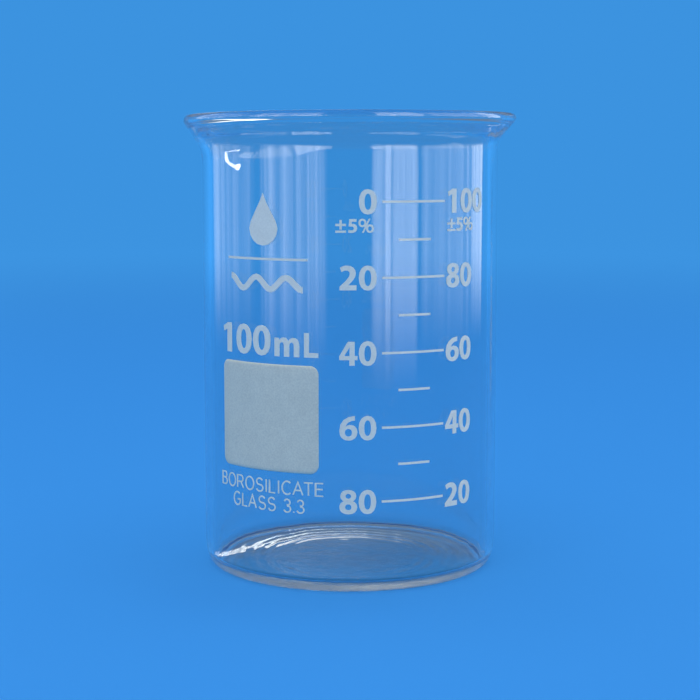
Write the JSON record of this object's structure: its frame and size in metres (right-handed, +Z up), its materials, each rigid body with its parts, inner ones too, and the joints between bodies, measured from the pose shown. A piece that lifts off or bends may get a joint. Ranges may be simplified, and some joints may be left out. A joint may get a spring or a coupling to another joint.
{
  "type": "laboratory beaker",
  "caption": "Cylindrical glass beaker with a flared beaded rim, a shallow pouring lip, a rounded heel and a fired enamel volume scale with a matt writing patch.",
  "frame": {"origin": "on the axis of the vessel, in the plane of its foot", "axes": "+Z up along the axis of the vessel, -Y towards someone who reads the print, +X to that person's right"},
  "size_m": [0.0561, 0.0558, 0.0764],
  "materials": {
    "glass": "clear, fire-polished borosilicate glass",
    "enamel": "matt pale grey fired enamel, finely speckled"
  },
  "bodies": {
    "root": {"glass_vessel": "glass", "writing_patch": "enamel", "label_rule": "enamel", "emblem_drop": "enamel", "emblem_wave": "enamel", "capacity_0": "enamel", "capacity_1": "enamel", "capacity_2": "enamel", "capacity_m": "enamel", "capacity_L": "enamel", "line_100": "enamel", "line_90": "enamel", "line_80": "enamel", "line_70": "enamel", "line_60": "enamel", "line_50": "enamel", "line_40": "enamel", "line_30": "enamel", "line_20": "enamel", "left_0_0": "enamel", "left_20_0": "enamel", "left_20_1": "enamel", "left_40_0": "enamel", "left_40_1": "enamel", "left_60_0": "enamel", "left_60_1": "enamel", "left_80_0": "enamel", "left_80_1": "enamel", "right_100_0": "enamel", "right_100_1": "enamel", "right_100_2": "enamel", "right_80_0": "enamel", "right_80_1": "enamel", "right_60_0": "enamel", "right_60_1": "enamel", "right_40_0": "enamel", "right_40_1": "enamel", "right_20_0": "enamel", "right_20_1": "enamel", "left_tolerance_plus": "enamel", "left_tolerance_minus": "enamel", "left_tolerance_five": "enamel", "left_tolerance_percent": "enamel", "right_tolerance_plus": "enamel", "right_tolerance_minus": "enamel", "right_tolerance_five": "enamel", "right_tolerance_percent": "enamel"}
  },
  "joints": []
}
